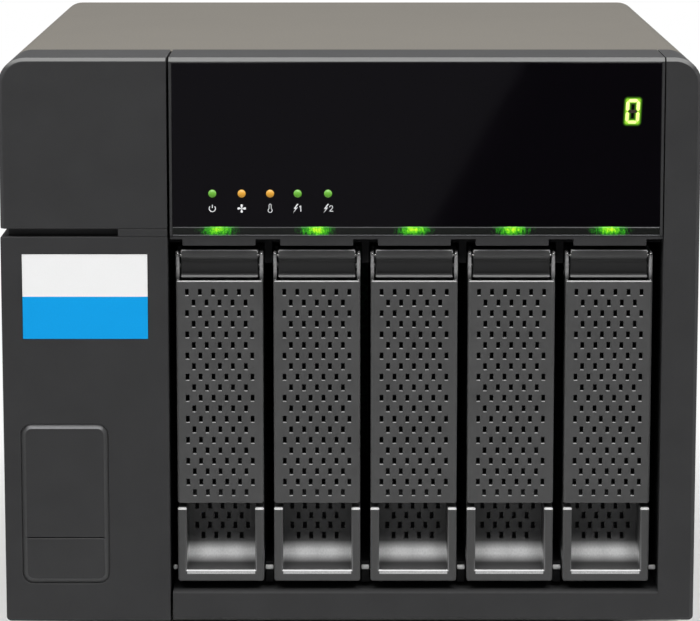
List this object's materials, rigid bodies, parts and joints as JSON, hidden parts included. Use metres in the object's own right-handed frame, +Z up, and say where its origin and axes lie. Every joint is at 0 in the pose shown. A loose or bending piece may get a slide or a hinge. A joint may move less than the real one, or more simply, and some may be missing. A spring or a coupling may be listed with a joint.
{
  "type": "disk shelf enclosure",
  "caption": "Desktop disk shelf: grey metal case, black front with display band, label column and side-by-side drive trays with perforated lever handles.",
  "frame": {"origin": "middle of the width and depth, on the plane that the feet stand on", "axes": "+Z up; the front with the trays faces -Y; the label column is at -X"},
  "size_m": [0.2106, 0.2354, 0.181],
  "materials": {
    "board_green": "solder mask",
    "case_grey": "satin powder coat",
    "drive_metal": "cast, satin",
    "fan_black": "matt",
    "front_black": "fine matt texture",
    "guide_dark": "smoked",
    "handle_black": "satin",
    "inner_black": "matt",
    "label_paper": "coated paper",
    "lamp_green": "diffuse lens",
    "pin_steel": "ground",
    "plate_grey": "fine matt",
    "plug_black": "moulded",
    "port_steel": "stamped",
    "rocker_black": "satin",
    "rubber_black": "matt",
    "tray_black": "fine matt",
    "window_black": "polished",
    "zinc_steel": "zinc plated"
  },
  "bodies": {
    "chassis": {"top_cover": "case_grey", "chassis_base": "case_grey", "rear_panel": "case_grey", "drive_cage": "zinc_steel", "rubber_feet": "rubber_black", "case_screws": "pin_steel", "front_bezel": "front_black", "left_upper_panel": "front_black", "left_lower_panel": "front_black", "recess_frame": "front_black", "upper_plate": "plate_grey", "lower_plate": "plate_grey", "column_frame": "inner_black", "column_strip": "front_black", "label_sticker": "label_paper", "display_frame": "front_black", "display_window": "window_black", "light_guide": "guide_dark", "bay_comb": "inner_black", "front_board": "board_green", "status_leds": "lamp_green", "drive_leds": "lamp_green", "digit_display": "inner_black", "backplane_board": "board_green", "drive_plugs": "plug_black", "main_board": "board_green", "board_standoffs": "pin_steel", "data_ports": "port_steel", "power_supply": "zinc_steel", "power_inlet": "plug_black", "supply_bracket": "zinc_steel", "fan_frame": "fan_black", "fan_guard": "zinc_steel", "supply_fan_guard": "zinc_steel"},
    "tray_1_body": {"tray_1": "tray_black", "hinge_pin_1": "pin_steel", "drive_1": "drive_metal"},
    "handle_1_body": {"handle_1": "handle_black"},
    "tray_2_body": {"tray_2": "tray_black", "hinge_pin_2": "pin_steel", "drive_2": "drive_metal"},
    "handle_2_body": {"handle_2": "handle_black"},
    "tray_3_body": {"tray_3": "tray_black", "hinge_pin_3": "pin_steel", "drive_3": "drive_metal"},
    "handle_3_body": {"handle_3": "handle_black"},
    "tray_4_body": {"tray_4": "tray_black", "hinge_pin_4": "pin_steel", "drive_4": "drive_metal"},
    "handle_4_body": {"handle_4": "handle_black"},
    "tray_5_body": {"tray_5": "tray_black", "hinge_pin_5": "pin_steel", "drive_5": "drive_metal"},
    "handle_5_body": {"handle_5": "handle_black"},
    "fan_wheel": {"fan_rotor": "fan_black"},
    "supply_fan_wheel": {"supply_fan_rotor": "fan_black"},
    "switch_rocker": {"power_switch": "rocker_black"}
  },
  "joints": [
    {"name": "tray_1_slide", "type": "slide", "parent": "chassis", "child": "tray_1_body", "axis": [0, -1, 0], "range_m": [0, 0.15]},
    {"name": "handle_1_hinge", "type": "hinge", "parent": "tray_1_body", "child": "handle_1_body", "pos_m": [-0.0395, -0.1101, 0.1172], "axis": [-1, 0, 0], "range_deg": [0, 55]},
    {"name": "tray_2_slide", "type": "slide", "parent": "chassis", "child": "tray_2_body", "axis": [0, -1, 0], "range_m": [0, 0.15]},
    {"name": "handle_2_hinge", "type": "hinge", "parent": "tray_2_body", "child": "handle_2_body", "pos_m": [-0.01004, -0.1101, 0.1172], "axis": [-1, 0, 0], "range_deg": [0, 55]},
    {"name": "tray_3_slide", "type": "slide", "parent": "chassis", "child": "tray_3_body", "axis": [0, -1, 0], "range_m": [0, 0.15]},
    {"name": "handle_3_hinge", "type": "hinge", "parent": "tray_3_body", "child": "handle_3_body", "pos_m": [0.01942, -0.1101, 0.1172], "axis": [-1, 0, 0], "range_deg": [0, 55]},
    {"name": "tray_4_slide", "type": "slide", "parent": "chassis", "child": "tray_4_body", "axis": [0, -1, 0], "range_m": [0, 0.15]},
    {"name": "handle_4_hinge", "type": "hinge", "parent": "tray_4_body", "child": "handle_4_body", "pos_m": [0.04888, -0.1101, 0.1172], "axis": [-1, 0, 0], "range_deg": [0, 55]},
    {"name": "tray_5_slide", "type": "slide", "parent": "chassis", "child": "tray_5_body", "axis": [0, -1, 0], "range_m": [0, 0.15]},
    {"name": "handle_5_hinge", "type": "hinge", "parent": "tray_5_body", "child": "handle_5_body", "pos_m": [0.07834, -0.1101, 0.1172], "axis": [-1, 0, 0], "range_deg": [0, 55]},
    {"name": "fan_spin", "type": "hinge", "parent": "chassis", "child": "fan_wheel", "pos_m": [0.01942, 0.1017, 0.07], "axis": [0, 1, 0], "continuous": true},
    {"name": "supply_fan_spin", "type": "hinge", "parent": "chassis", "child": "supply_fan_wheel", "pos_m": [-0.02755, 0.1057, 0.15195], "axis": [0, 1, 0], "continuous": true},
    {"name": "power_rocker", "type": "hinge", "parent": "chassis", "child": "switch_rocker", "pos_m": [-0.00225, 0.1137, 0.15195], "axis": [-1, 0, 0], "range_deg": [0, 14]}
  ]
}
